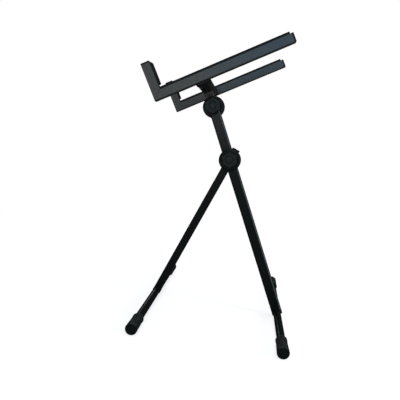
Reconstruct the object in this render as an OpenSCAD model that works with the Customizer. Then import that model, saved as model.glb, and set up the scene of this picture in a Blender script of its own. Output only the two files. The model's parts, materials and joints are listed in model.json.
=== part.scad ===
// Folding stand with two L-shaped arms on a leaning main tube, a hinged front leg and two floor crossbars.
// Millimetres. +Z is up, -X is the user's side, +Y is the user's left, and Z = 0 is the floor.
// The origin is on the floor, at the middle of the whole stand's box.

/* [Stance] */
// Lean of the main tube from upright, its top towards the user
main_lean = 24.2; // [18:0.1:28]
// Lean of the open front leg from upright
front_lean = 22.6; // [16:0.1:28]
// Rise of the arms above level
arm_slope = 28.1; // [0:0.1:40]
// Lower hub axis to the rear crossbar's axis
rear_leg_len = 591; // [450:1:700]
// Lower hub axis to the upper hub axis
hub_spacing = 202; // [150:1:300]
// Space left between the foot caps when the front leg is folded
fold_gap = 1.5; // [0.5:0.1:10]
// How far the arms tilt back and up from where they are set
tilt_up = 60; // [10:1:70]

/* [Main tube] */
// Width of the main tube, front to back
main_w = 38; // [34:0.5:44]
// Depth of the main tube, side to side
main_d = 25; // [20:0.5:32]
// Wall of the main tube
main_wall = 2; // [1.2:0.1:3]
// Outside corner radius of the main tube
main_r = 5; // [3.5:0.1:7]
// Tube left above the upper hub axis
main_end = 16; // [12:0.5:22]
// Floor to the lowest corner of the main tube, which runs on past the rear crossbar
main_floor_gap = 2.5; // [1.5:0.5:12]

/* [Front leg] */
// Front leg tube beyond the crossbar that goes through it, on each side
leg_side = 1; // [0.5:0.1:4]
// Depth of the front leg tube, side to side
leg_d = 22; // [18:0.5:28]
// Wall of the front leg tube
leg_wall = 1.8; // [1.2:0.1:2.6]
// Outside corner radius of the front leg tube
leg_r = 4; // [3:0.1:6]
// Tube left above the lower hub axis
leg_end = 42; // [30:0.5:60]
// Floor to the lowest corner of the front leg, which runs on past the front crossbar
leg_floor_gap = 8; // [2:0.5:14]

/* [Crossbars and feet] */
// Outside diameter of the two floor crossbars
bar_d = 28; // [22:0.5:32]
// Wall of the crossbars
bar_wall = 2; // [1.2:0.1:3]
// Length of a crossbar's tube
bar_len = 710; // [500:1:900]
// Whole length of a foot cap
foot_len = 92; // [70:1:120]
// Rubber beyond the end of the crossbar
foot_end_t = 20; // [12:1:30]
// How much a foot cap's radius falls from its outer end to its mouth
foot_taper = 1.5; // [1:0.1:2]
// Diameter of a foot cap at its outer end, where it stands on the floor
foot_d = 39; // [37:0.5:46]
// Radius round the rim of a foot cap's blunt end
foot_round = 4; // [2:0.5:8]
// Grip grooves round a foot cap
foot_grooves = 20; // [12:1:28]

/* [Hubs] */
// Diameter of the clutch discs
disc_d = 80; // [72:0.5:88]
// Thickness of one clutch disc
disc_t = 8.6; // [7:0.1:12]
// Running space between two clutch discs
disc_gap = 0.2; // [0.1:0.05:0.4]
// Diameter of the hub bolts
bolt_d = 10; // [8:0.5:12]
// Disc left outside a stop pin's axis
stop_edge = 9; // [7.5:0.5:11]
// Diameter of a stop pin
stop_pin_d = 6; // [4:0.5:6.5]
// Thickness of the lower hub's front cap
hub_cap_t = 12; // [8:0.5:18]
// Thickness of the spacer under the upper knob
spacer_t = 4; // [2:0.5:8]
// Diameter of the hub knobs over their lobes
knob_d = 56; // [46:0.5:64]
// Height of a hub knob from its seat
knob_h = 30; // [24:0.5:40]

/* [Head] */
// Upper hub axis back from the arms' outer corner, along the arm
hub_setback = 159; // [120:1:220]
// Upper hub axis below the arms' underside
hub_drop = 63; // [56:0.5:90]
// Width of the neck tube along the arms
neck_w = 33; // [28:0.5:40]
// Depth of the neck tube, side to side
neck_d = 22; // [18:0.5:28]
// Wall of the neck tube
neck_wall = 2; // [1.2:0.1:3]
// Outside corner radius of the neck tube
neck_r = 4; // [3:0.1:6]
// Tube left below the upper hub axis
neck_end = 16; // [12:0.5:22]
// Middle of the sleeve ahead of the upper hub's line, along the arm
sleeve_ahead = 4.5; // [0:0.5:8]
// Wall of the sleeve that the arms slide in
sleeve_wall = 2.2; // [1.5:0.1:3]
// Outside corner radius of the sleeve
sleeve_r = 3; // [2.5:0.1:5]
// Thickness of a sleeve collar's rim, at the end of the sleeve
collar_rim = 3; // [2:0.5:6]
// Thickness of a sleeve collar's skirt, round the sleeve
collar_skirt = 2; // [1.5:0.1:3]
// Length of a sleeve collar's skirt
collar_grip = 12; // [6:0.5:14]
// Sliding space round a slide tube, on each side
slide_gap = 0.3; // [0.1:0.05:0.5]

/* [Arms] */
// Outer faces of the two arms apart, as they are set
arm_span = 460; // [400:1:640]
// Slide tube left bare between an arm and the end of the sleeve, as they are set
arm_out = 15; // [8:0.5:40]
// Width of the arms' square tube
arm_w = 30; // [25:0.5:35]
// Wall of the arms' square tube
arm_wall = 2; // [1.2:0.1:3]
// Outside corner radius of the arms' square tube
arm_r = 2.5; // [2:0.1:4]
// Length of an arm from its outer corner to its tip
rail_len = 476; // [350:1:600]
// Height of a lip from its outer corner to its top
lip_len = 126; // [80:1:200]
// Width of the slide tubes, along the arm
slide_w = 40; // [34:0.5:46]
// Space between the ends of the two slide tubes, as the arms are set
slide_part = 40; // [10:1:80]
// Thickness of the visible part of an end cap
cap_t = 6; // [3:0.5:10]
// Thickness of the rubber pads
pad_t = 6.5; // [3:0.5:9]
// Width of the rubber pads
pad_w = 28; // [20:0.5:30]
// Bare tube left between a pad and the end cap
pad_stop = 5; // [1:0.5:20]
// Bare lip left between the face of the rail pad and the lip pad
lip_bare = 9.5; // [2:0.5:20]

/* [Width locks] */
// Sleeve left bare between a sleeve collar and a lock's nut
lock_clear = 5; // [1:0.5:20]
// Diameter of the lock screws
lock_d = 8; // [6:0.5:10]
// Diameter of the lock knobs
lock_knob_d = 30; // [25:0.5:36]
// Height of the lock knobs
lock_knob_h = 14; // [12:0.5:24]

/* [Hidden] */
$fn = 64;

// Which side of the stand a piece is on
right = -1;
left = 1;

// Clearances
seat_fit = 0.05;   // between pieces that are welded, pressed or seated
pin_fit = 0.05;    // round a bolt that something turns on
face_gap = 0.1;    // between flat faces that turn or slide on each other
stop_fit = 0.3;    // round a stop pin in its slot
plug_fit = 0.15;   // round a plug's spigot in its tube
tip_fit = 0.05;    // from a lock screw's tip to the slide tube
over = 1;          // how far a cutting shape runs past what it cuts

// Where the hubs and the crossbars are, first from the lower hub's axis
foot_r = foot_d / 2;
foot_grip = foot_len - foot_end_t;
leg_w = bar_d + 2 * leg_side;
main_past = (foot_r - main_floor_gap - main_w / 2 * sin(main_lean)) / cos(main_lean);
leg_past = (foot_r - leg_floor_gap - leg_w / 2 * sin(front_lean)) / cos(front_lean);
drop = rear_leg_len * cos(main_lean);
front_leg_len = drop / cos(front_lean);
rear_bar_x = rear_leg_len * sin(main_lean);
front_bar_x = -front_leg_len * sin(front_lean);
upper_x = -hub_spacing * sin(main_lean);
rail_back_x = upper_x + (rail_len - hub_setback) * cos(arm_slope) - hub_drop * sin(arm_slope);
lip_top_x = upper_x - hub_setback * cos(arm_slope) - (hub_drop + lip_len) * sin(arm_slope);
main_end_x = rear_bar_x + main_past * sin(main_lean) + main_w / 2 * cos(main_lean);
leg_end_x = front_bar_x - leg_past * sin(front_lean) - leg_w / 2 * cos(front_lean);
box_low_x = min(lip_top_x, front_bar_x - foot_r, leg_end_x);
box_high_x = max(rear_bar_x + foot_r, main_end_x, rail_back_x);

// The same, from the origin
hub_x = -(box_low_x + box_high_x) / 2;
hub_z = foot_r + drop;
upper_hub = [hub_x + upper_x, 0, hub_z + hub_spacing * cos(main_lean)];
lower_hub = [hub_x, 0, hub_z];

// How far the front leg folds, until the foot caps are fold_gap apart
caps_apart = foot_d + fold_gap;
fold_left = acos((pow(rear_leg_len, 2) + pow(front_leg_len, 2) - pow(caps_apart, 2))
    / (2 * rear_leg_len * front_leg_len));
fold_range = main_lean + front_lean - fold_left;
// How far the arms tilt down, until they lie along the main tube
tilt_down = 90 + arm_slope - main_lean;

// What lies beside what in a hub, from the right side to the left
discs_t = 2 * disc_t + disc_gap;
stack_t = main_d + discs_t + leg_d;
main_y = -stack_t / 2;                // right face of the main tube
fixed_y = main_y + main_d;            // fixed disc's face on the main tube
moving_y = fixed_y + disc_t + disc_gap; // moving disc's running face
leg_y = moving_y + disc_t;            // right face of the front leg and of the neck
bolt_r = bolt_d / 2;
bolt_bore_r = bolt_r + pin_fit;
bolt_head_d = 2.5 * bolt_d;
bolt_head_h = 0.55 * bolt_d;
washer_d = 3 * bolt_d;
washer_t = 2;
spacer_d = washer_d + 4;

// Clutch discs
disc_chamfer = 1.2;
lug_w = 5;         // lugs that hold a disc square on its tube
lug_h = 7;
lug_len = 44;
ring_in_d = 1.8 * bolt_d;
ring_out_d = ring_in_d + 22;
ring_recess = 1.5;
stop_at = disc_d / 2 - stop_edge;
stop_pin_r = stop_pin_d / 2;
stop_slot_r = stop_pin_r + stop_fit;
stop_slot_depth = 5;
stop_pin_up = 4;   // pin above its own disc's face
stop_pin_in = 5;   // pin inside its own disc
stop_angle = asin(stop_slot_r / stop_at); // half the angle a stop pin takes up in its slot

// Front cap of the lower hub
hub_cap_front = 0.84; // its front face's diameter as a share of the disc's
hub_cap_side = 0.4;   // its upright side's height as a share of the cap's

// Knobs
lobes = 6;
lobe_share = 1 / 7;   // a lobe's radius as a share of the knob's diameter
lobe_out = 0.4;       // how much of that radius stands out of the knob's body
knob_collar_d = bolt_d + 20;
knob_collar_h = 6;
knob_round = 4;
insert_d = bolt_d + 6;
insert_h = 18;
bolt_in_knob = insert_h - 1;

// Tube ends
plug_head = 3;
plug_edge = 1.2;
plug_wall = 2;
least_r = 0.4;     // smallest corner radius inside a tube
plug_depth = 12;
spigot_depth = 16;

// Head
bore_w = slide_w + 2 * slide_gap;
bore_h = arm_w + 2 * slide_gap;
sleeve_w = bore_w + 2 * sleeve_wall;
sleeve_h = bore_h + 2 * sleeve_wall;
slide_z = hub_drop + arm_w / 2;       // axis of the sleeve above the upper hub's axis
neck_top = slide_z - sleeve_h / 2;
arm_y = arm_span / 2 - arm_w / 2;     // middle of an arm's tube
slide_y = arm_span / 2 - arm_w;       // inner face of an arm
sleeve_len = 2 * (slide_y - arm_out);
slide_len = slide_y - slide_part / 2;
rail_tube_len = rail_len - cap_t;
lip_tube_len = lip_len - cap_t;

// Width locks
lock_r = lock_d / 2;
nut_across = 1.8 * lock_d;
lock_y = sleeve_len / 2 - collar_grip - lock_clear - nut_across / 2;
nut_t = 0.6 * lock_d;
nut_face = sleeve_h / 2 + nut_t;
lock_travel = 2;      // space under a lock knob when it is tight
lock_knob_at = nut_face + lock_travel;
lock_screw_in = 0.7 * lock_knob_h;
lock_collar_d = 0.6 * lock_knob_d;
lock_collar_h = 3;
lock_lobes = 5;

// Pads
pad_edge = 1.5;
pad_groove_r = 1;
pad_groove_at = 0.3;  // a groove's place off the middle as a share of the pad's width
pad_corner = 0.2;     // the rail pad's end from the lip's face, in an arm's inner corner
rail_pad_from = arm_w + pad_corner;
lip_pad_from = arm_w + pad_t + lip_bare;

// Foot caps
groove_r = 0.9;
groove_out = 0.25;   // a groove's axis outside the cap's surface
mouth_band = 6;      // smooth ring at the mouth
mouth_step = 1;      // how far it stands out
end_band = 6;        // smooth ring before the rounded rim

coat = "#2a2d2d";
rubber_black = "#141616";
plastic_black = "#1b1d1d";
steel = "#9a9ea2";
brass_yellow = "#b08d4a";
fibre = "#6b4a35";

// Rectangle with round corners, centred
module round_rect(w, d, r) {
    square([w - 2 * r, d], center = true);
    square([w, d - 2 * r], center = true);
    for (x = [-1, 1], y = [-1, 1])
        translate([x * (w / 2 - r), y * (d / 2 - r)])
            circle(r);
}

// Rectangular tube along +Z from the origin
module rect_tube(w, d, wall, r, length) {
    linear_extrude(length)
        difference() {
            round_rect(w, d, r);
            round_rect(w - 2 * wall, d - 2 * wall, max(r - wall, least_r));
        }
}

// Closed plug for a rectangular tube that ends at the origin and comes from -Z
module rect_plug(w, d, wall, r, head, depth) {
    in_w = w - 2 * wall - 2 * plug_fit;
    in_d = d - 2 * wall - 2 * plug_fit;
    hull() {
        linear_extrude(head - plug_edge)
            round_rect(w, d, r, $fn = 32);
        linear_extrude(head)
            round_rect(w - 2 * plug_edge, d - 2 * plug_edge, max(r - plug_edge, least_r), $fn = 32);
    }
    translate([0, 0, -depth])
        linear_extrude(depth)
            difference() {
                round_rect(in_w, in_d, max(r - wall, least_r));
                round_rect(in_w - 2 * plug_wall, in_d - 2 * plug_wall, least_r);
            }
}

// Cylinder along +Y from a given y
module y_rod(r, y, length) {
    translate([0, y, 0])
        rotate([-90, 0, 0])
            cylinder(r = r, h = length);
}

// Frames that the pieces are placed in: local Z runs up the tube or square to the arms
module on_main() {
    translate(lower_hub)
        rotate([0, -main_lean, 0])
            children();
}

module on_leg() {
    translate(lower_hub)
        rotate([0, front_lean, 0])
            children();
}

module on_head() {
    translate(upper_hub)
        rotate([0, -arm_slope, 0])
            children();
}

// Pieces of the upper hub that stay with the main tube
module on_main_top() {
    on_main()
        translate([0, 0, hub_spacing])
            children();
}

module on_rear_bar() {
    translate([hub_x + rear_bar_x, 0, foot_r])
        children();
}

module on_front_bar() {
    translate([hub_x + front_bar_x, 0, foot_r])
        children();
}

module main_tube() {
    low = -rear_leg_len - main_past;
    color(coat)
        difference() {
            on_main()
                translate([0, main_y + main_d / 2, low])
                    rect_tube(main_w, main_d, main_wall, main_r, hub_spacing + main_end - low);
            on_main()
                for (z = [0, hub_spacing])
                    translate([0, 0, z])
                        y_rod(bolt_r + seat_fit, main_y - over, main_d + 2 * over);
            on_rear_bar()
                y_rod(bar_d / 2 + seat_fit, main_y - over, main_d + 2 * over);
        }
}

module main_tube_plug() {
    depth = min(plug_depth, main_end - bolt_r - over);
    color(plastic_black)
        on_main_top()
            translate([0, main_y + main_d / 2, main_end])
                rect_plug(main_w, main_d, main_wall, main_r, plug_head, depth);
}

module crossbar() {
    color(coat)
        translate([0, -bar_len / 2, 0])
            rotate([-90, 0, 0])
                difference() {
                    cylinder(d = bar_d, h = bar_len);
                    translate([0, 0, -over])
                        cylinder(d = bar_d - 2 * bar_wall, h = bar_len + 2 * over);
                }
}

module rear_crossbar() {
    on_rear_bar()
        crossbar();
}

module front_crossbar() {
    on_front_bar()
        crossbar();
}

// Foot cap along +Z, its mouth at the origin
module foot_cap_body() {
    rim_at = foot_len - foot_round;
    mouth_r = foot_r - foot_taper;
    taper = atan((foot_r - mouth_r) / (rim_at - mouth_band));
    difference() {
        rotate_extrude() {
            polygon([[0, 0], [mouth_r + mouth_step, 0], [mouth_r + mouth_step, mouth_band],
                [mouth_r, mouth_band], [foot_r, rim_at], [0, rim_at]]);
            translate([0, rim_at - over])
                square([foot_r - foot_round, foot_round + over]);
            intersection() {
                translate([foot_r - foot_round, rim_at])
                    circle(foot_round);
                translate([foot_r - foot_round - over, rim_at - over])
                    square(foot_round + 2 * over);
            }
        }
        translate([0, 0, -over])
            cylinder(r = bar_d / 2 + seat_fit, h = foot_grip + over);
        for (k = [0 : foot_grooves - 1])
            rotate([0, 0, (k + 0.5) * 360 / foot_grooves])
                translate([mouth_r + groove_out, 0, mouth_band])
                    rotate([0, taper, 0])
                        cylinder(r = groove_r, h = rim_at - mouth_band - end_band);
    }
}

// Foot cap on the end of a crossbar that lies along Y
module foot_cap(side) {
    color(rubber_black)
        to_side(side)
            translate([0, bar_len / 2 - foot_grip, 0])
                rotate([-90, 0, 0])
                    foot_cap_body();
}

// The left side as it is, the right side mirrored
module to_side(side) {
    mirror([0, side == right ? 1 : 0, 0])
        children();
}

module rear_foot(side) {
    on_rear_bar()
        foot_cap(side);
}

module front_foot(side) {
    on_front_bar()
        foot_cap(side);
}

// Clutch disc from z = 0, its running face, down to -disc_t, its seat on the tube
module disc_blank() {
    r = disc_d / 2;
    c = disc_chamfer;
    difference() {
        rotate_extrude()
            polygon([[0, -disc_t], [r - c, -disc_t], [r, c - disc_t], [r, -c], [r - c, 0], [0, 0]]);
        translate([0, 0, -disc_t - over])
            cylinder(r = bolt_bore_r, h = disc_t + 2 * over);
    }
}

// Two lugs that hold a disc square on a tube of width w that runs along local Y
module disc_lugs(w) {
    at = w / 2 + plug_fit;
    for (x = [-1, 1])
        translate([x * (at + lug_w / 2), 0, -disc_t - lug_h / 2])
            cube([lug_w, lug_len, lug_h], center = true);
}

// Fixed disc: its running face looks along +Y in the hub, and it holds the stop pin and the ring
module fixed_disc() {
    color(plastic_black)
        translate([0, fixed_y + disc_t, 0])
            rotate([-90, 0, 0])
                difference() {
                    union() {
                        disc_blank();
                        disc_lugs(main_w);
                    }
                    translate([0, -stop_at, -stop_pin_in])
                        cylinder(r = stop_pin_r + seat_fit, h = stop_pin_in + over);
                    translate([0, 0, -ring_recess])
                        difference() {
                            cylinder(d = ring_out_d + 2 * plug_fit, h = ring_recess + over);
                            translate([0, 0, -over])
                                cylinder(d = ring_in_d - 2 * plug_fit, h = ring_recess + 3 * over);
                        }
                }
}

// Stop pin on the main tube's line, above the hub
module stop_pin() {
    color(steel)
        translate([0, 0, stop_at])
            y_rod(stop_pin_r, fixed_y + disc_t - stop_pin_in, stop_pin_in + stop_pin_up);
}

module friction_ring() {
    color(fibre)
        translate([0, fixed_y + disc_t - ring_recess + seat_fit, 0])
            rotate([-90, 0, 0])
                difference() {
                    cylinder(d = ring_out_d, h = ring_recess - seat_fit + disc_gap / 2);
                    translate([0, 0, -over])
                        cylinder(d = ring_in_d, h = ring_recess + 3 * over);
                }
}

// Moving disc on a tube of width w, with a slot that the stop pin's middle crosses from angle low to high
module moving_disc(w, low, high) {
    color(plastic_black)
        translate([0, moving_y, 0])
            rotate([90, 0, 0])
                difference() {
                    union() {
                        disc_blank();
                        disc_lugs(w);
                    }
                    translate([0, 0, -stop_slot_depth])
                        rotate([0, 0, low - stop_angle])
                            rotate_extrude(angle = high - low + 2 * stop_angle)
                                translate([stop_at - stop_slot_r, 0])
                                    square([2 * stop_slot_r, stop_slot_depth + over]);
                }
}

// Bolt with a low round head on the left side, its shank reaching the given y on the right side
module hub_bolt(tip_y) {
    head_y = leg_y + leg_d + washer_t + face_gap;
    ball_r = (pow(bolt_head_d / 2, 2) + pow(bolt_head_h, 2)) / (2 * bolt_head_h);
    color(steel) {
        y_rod(bolt_r, tip_y, head_y - tip_y);
        translate([0, head_y, 0])
            rotate([-90, 0, 0])
                rotate_extrude()
                    intersection() {
                        translate([0, bolt_head_h - ball_r])
                            circle(ball_r);
                        square([bolt_head_d / 2, bolt_head_h]);
                    }
    }
}

module back_washer(face_y) {
    color(steel)
        difference() {
            y_rod(washer_d / 2, face_y, washer_t);
            y_rod(bolt_bore_r, face_y - over, washer_t + 2 * over);
        }
}

upper_knob_y = main_y - spacer_t - face_gap;
lower_knob_y = main_y - hub_cap_t - face_gap;

module upper_fixed_disc() {
    on_main_top()
        fixed_disc();
}

module upper_stop_pin() {
    on_main_top()
        stop_pin();
}

module upper_friction_ring() {
    on_main_top()
        friction_ring();
}

module upper_bolt() {
    on_main_top()
        hub_bolt(upper_knob_y - bolt_in_knob);
}

module upper_spacer() {
    color(plastic_black)
        on_main_top()
            difference() {
                y_rod(spacer_d / 2, main_y - spacer_t, spacer_t);
                y_rod(bolt_r + seat_fit, main_y - spacer_t - over, spacer_t + 2 * over);
            }
}

module lower_fixed_disc() {
    on_main()
        fixed_disc();
}

module lower_stop_pin() {
    on_main()
        stop_pin();
}

module lower_friction_ring() {
    on_main()
        friction_ring();
}

module lower_bolt() {
    on_main()
        hub_bolt(lower_knob_y - bolt_in_knob);
}

// Front cap of the lower hub: a shallow cone with two lugs beside the main tube
module lower_hub_cap() {
    r = disc_d / 2;
    front_r = hub_cap_front * r;
    side_t = hub_cap_side * hub_cap_t;
    color(plastic_black)
        on_main()
            translate([0, main_y, 0])
                rotate([90, 0, 0])
                    difference() {
                        union() {
                            rotate_extrude()
                                polygon([[0, 0], [r, 0], [r, side_t], [front_r, hub_cap_t], [0, hub_cap_t]]);
                            for (x = [-1, 1])
                                translate([x * (main_w / 2 + plug_fit + lug_w / 2), 0, -lug_h / 2])
                                    cube([lug_w, lug_len, lug_h], center = true);
                        }
                        translate([0, 0, -lug_h - over])
                            cylinder(r = bolt_r + seat_fit, h = hub_cap_t + lug_h + 2 * over);
                    }
}

module front_leg_tube() {
    low = -front_leg_len - leg_past;
    color(coat)
        difference() {
            on_leg()
                translate([0, leg_y + leg_d / 2, low])
                    rect_tube(leg_w, leg_d, leg_wall, leg_r, leg_end - low);
            on_leg()
                y_rod(bolt_bore_r, leg_y - over, leg_d + 2 * over);
            on_front_bar()
                y_rod(bar_d / 2 + seat_fit, leg_y - over, leg_d + 2 * over);
        }
}

module front_leg_plug() {
    color(plastic_black)
        on_leg()
            translate([0, leg_y + leg_d / 2, leg_end])
                rect_plug(leg_w, leg_d, leg_wall, leg_r, plug_head, plug_depth);
}

// In the leg's own frame the stop pin sits main_lean + front_lean before the leg's line
module lower_moving_disc() {
    pin_at = 90 + main_lean + front_lean;
    on_leg()
        moving_disc(leg_w, pin_at - fold_range, pin_at);
}

module lower_back_washer() {
    on_leg()
        back_washer(leg_y + leg_d);
}

module neck_tube() {
    color(coat)
        on_head()
            difference() {
                translate([0, leg_y + neck_d / 2, -neck_end])
                    rect_tube(neck_w, neck_d, neck_wall, neck_r, neck_end + neck_top);
                y_rod(bolt_bore_r, leg_y - over, neck_d + 2 * over);
            }
}

module neck_plug() {
    depth = min(plug_depth, neck_end - bolt_r - over);
    color(plastic_black)
        on_head()
            translate([0, leg_y + neck_d / 2, -neck_end])
                rotate([180, 0, 0])
                    rect_plug(neck_w, neck_d, neck_wall, neck_r, plug_head, depth);
}

// In the head's own frame the stop pin sits main_lean - arm_slope before the neck's line
module upper_moving_disc() {
    pin_at = 90 + main_lean - arm_slope;
    on_head()
        moving_disc(neck_w, pin_at - tilt_up, pin_at + tilt_down);
}

module upper_back_washer() {
    on_head()
        back_washer(leg_y + neck_d);
}

// Axis of the sleeve and the slide tubes, along Y
module on_sleeve() {
    on_head()
        translate([sleeve_ahead, 0, slide_z])
            children();
}

// Axis of a width lock, along local Z, pointing down out of the sleeve
module on_lock(side) {
    on_sleeve()
        translate([0, side * lock_y, 0])
            rotate([180, 0, 0])
                children();
}

module sleeve() {
    color(coat)
        difference() {
            on_sleeve()
                translate([0, -sleeve_len / 2, 0])
                    rotate([-90, 0, 0])
                        rect_tube(sleeve_w, sleeve_h, sleeve_wall, sleeve_r, sleeve_len);
            for (side = [right, left])
                on_lock(side)
                    cylinder(r = lock_r + stop_fit, h = sleeve_h / 2 + over);
        }
}

// Collar over an end of the sleeve, with a rim round the slide tube
module sleeve_collar(side) {
    out_w = sleeve_w + 2 * collar_skirt;
    out_h = sleeve_h + 2 * collar_skirt;
    color(plastic_black)
        on_sleeve()
            to_side(side)
                translate([0, sleeve_len / 2 - collar_grip, 0])
                    rotate([-90, 0, 0])
                        difference() {
                            linear_extrude(collar_grip + collar_rim)
                                round_rect(out_w, out_h, sleeve_r + collar_skirt);
                            translate([0, 0, -over])
                                linear_extrude(collar_grip + over)
                                    round_rect(sleeve_w + 2 * seat_fit, sleeve_h + 2 * seat_fit, sleeve_r);
                            linear_extrude(collar_grip + collar_rim + over)
                                round_rect(bore_w, bore_h, max(sleeve_r - sleeve_wall, least_r));
                        }
}

module weld_nut(side) {
    color(coat)
        on_lock(side)
            translate([0, 0, sleeve_h / 2])
                difference() {
                    cylinder(d = nut_across, h = nut_t, $fn = 6);
                    translate([0, 0, -over])
                        cylinder(r = lock_r + seat_fit, h = nut_t + 2 * over);
                }
}

// Outer corner of an arm, local X along the rail and local Z up the lip
module on_arm(side) {
    on_head()
        translate([-hub_setback, side * arm_y, hub_drop])
            children();
}

module mitre_cut(corners) {
    translate([0, arm_w / 2 + over, 0])
        rotate([90, 0, 0])
            linear_extrude(arm_w + 2 * over)
                polygon(corners);
}

module rail(side) {
    far = arm_w + over;
    color(coat)
        on_arm(side)
            difference() {
                translate([0, 0, arm_w / 2])
                    rotate([0, 90, 0])
                        rect_tube(arm_w, arm_w, arm_wall, arm_r, rail_tube_len);
                mitre_cut([[-over, -over], [far, far], [-over, far]]);
            }
}

module lip(side) {
    far = arm_w + over;
    color(coat)
        on_arm(side)
            difference() {
                translate([arm_w / 2, 0, 0])
                    rect_tube(arm_w, arm_w, arm_wall, arm_r, lip_tube_len);
                mitre_cut([[-over, -over], [far, -over], [far, far]]);
            }
}

module rail_cap(side) {
    color(plastic_black)
        on_arm(side)
            translate([rail_tube_len, 0, arm_w / 2])
                rotate([0, 90, 0])
                    rect_plug(arm_w, arm_w, arm_wall, arm_r, cap_t, spigot_depth);
}

module lip_cap(side) {
    color(plastic_black)
        on_arm(side)
            translate([arm_w / 2, 0, lip_tube_len])
                rect_plug(arm_w, arm_w, arm_wall, arm_r, cap_t, spigot_depth);
}

// Pad along +Z, its back on x = 0 and its grooved face on x = pad_t
module pad(length) {
    color(rubber_black)
        linear_extrude(length)
            difference() {
                translate([pad_t / 2, 0])
                    round_rect(pad_t, pad_w, pad_edge);
                for (y = [-1, 1])
                    translate([pad_t, y * pad_groove_at * pad_w])
                        circle(pad_groove_r);
            }
}

module rail_pad(side) {
    on_arm(side)
        translate([rail_pad_from, 0, arm_w])
            rotate([0, 90, 0])
                rotate([0, 0, 180])
                    pad(rail_tube_len - rail_pad_from - pad_stop);
}

module lip_pad(side) {
    on_arm(side)
        translate([arm_w, 0, lip_pad_from])
            pad(lip_tube_len - lip_pad_from - pad_stop / 2);
}

module slide_tube(side) {
    color(coat)
        on_sleeve()
            translate([0, side == right ? -slide_y : slide_y - slide_len, 0])
                rotate([-90, 0, 0])
                    rect_tube(slide_w, arm_w, arm_wall, arm_r, slide_len);
}

module slide_plug(side) {
    color(plastic_black)
        on_sleeve()
            to_side(side)
                translate([0, slide_y - slide_len, 0])
                    rotate([90, 0, 0])
                        rect_plug(slide_w, arm_w, arm_wall, arm_r, plug_head, plug_depth);
}

// Lobed knob along +Z from its seat, with a collar, and a pocket of radius pocket_r and depth pocket_h
module lobed_knob(d, h, count, collar_d, collar_h, pocket_r, pocket_h) {
    r = d / 2;
    lobe_r = lobe_share * d;
    body_r = r - lobe_out * lobe_r;
    soft = min(knob_round, h / 5);
    difference() {
        union() {
            cylinder(d = collar_d, h = collar_h + over);
            intersection() {
                translate([0, 0, collar_h])
                    linear_extrude(h - collar_h)
                        union() {
                            circle(body_r);
                            for (k = [0 : count - 1])
                                rotate((k + 0.25) * 360 / count)
                                    translate([r - lobe_r, 0])
                                        circle(lobe_r);
                        }
                rotate_extrude()
                    polygon([[0, collar_h], [r - soft / 2, collar_h], [r, collar_h + soft / 2],
                        [r, h - soft], [r - soft, h], [0, h]]);
            }
        }
        translate([0, 0, -over])
            cylinder(r = pocket_r, h = pocket_h + over);
    }
}

// Hub knob whose seat is at y, on the main tube's right side
module hub_knob(y) {
    color(plastic_black)
        translate([0, y, 0])
            rotate([90, 0, 0])
                lobed_knob(knob_d, knob_h, lobes, knob_collar_d, knob_collar_h,
                    insert_d / 2 + seat_fit, insert_h + seat_fit);
}

module knob_insert(y) {
    color(brass_yellow)
        difference() {
            y_rod(insert_d / 2, y - insert_h, insert_h);
            y_rod(bolt_bore_r, y - insert_h - over, insert_h + 2 * over);
        }
}

module lock_knob(side) {
    color(plastic_black)
        on_lock(side)
            translate([0, 0, lock_knob_at])
                lobed_knob(lock_knob_d, lock_knob_h, lock_lobes, lock_collar_d, lock_collar_h,
                    lock_r + seat_fit, lock_screw_in + seat_fit);
}

// Lock screw, its tip on the slide tube and its other end in the knob
module lock_screw(side) {
    tip = arm_w / 2 + tip_fit;
    color(steel)
        on_lock(side)
            translate([0, 0, tip])
                cylinder(r = lock_r, h = lock_knob_at + lock_screw_in - tip);
}

main_tube();
main_tube_plug();
rear_crossbar();
rear_foot(right);  // rear_foot_right
rear_foot(left);  // rear_foot_left
upper_fixed_disc();
upper_stop_pin();
upper_friction_ring();
upper_bolt();
upper_spacer();
lower_fixed_disc();
lower_stop_pin();
lower_friction_ring();
lower_bolt();
lower_hub_cap();
front_leg_tube();
front_leg_plug();
front_crossbar();
front_foot(right);  // front_foot_right
front_foot(left);  // front_foot_left
lower_moving_disc();
lower_back_washer();
neck_tube();
neck_plug();
upper_moving_disc();
upper_back_washer();
sleeve();
sleeve_collar(right);  // right_sleeve_collar
sleeve_collar(left);  // left_sleeve_collar
weld_nut(right);  // right_weld_nut
weld_nut(left);  // left_weld_nut
rail(right);  // right_rail
lip(right);  // right_lip
slide_tube(right);  // right_slide_tube
slide_plug(right);  // right_slide_plug
rail_pad(right);  // right_rail_pad
lip_pad(right);  // right_lip_pad
rail_cap(right);  // right_rail_cap
lip_cap(right);  // right_lip_cap
rail(left);  // left_rail
lip(left);  // left_lip
slide_tube(left);  // left_slide_tube
slide_plug(left);  // left_slide_plug
rail_pad(left);  // left_rail_pad
lip_pad(left);  // left_lip_pad
rail_cap(left);  // left_rail_cap
lip_cap(left);  // left_lip_cap
on_main_top() hub_knob(upper_knob_y);  // upper_knob
on_main_top() knob_insert(upper_knob_y);  // upper_knob_insert
on_main() hub_knob(lower_knob_y);  // lower_knob
on_main() knob_insert(lower_knob_y);  // lower_knob_insert
lock_knob(right);  // right_lock_knob
lock_screw(right);  // right_lock_screw
lock_knob(left);  // left_lock_knob
lock_screw(left);  // left_lock_screw
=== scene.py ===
"""Looks, light and camera for a folding stand with two padded L-shaped arms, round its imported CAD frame."""

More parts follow.
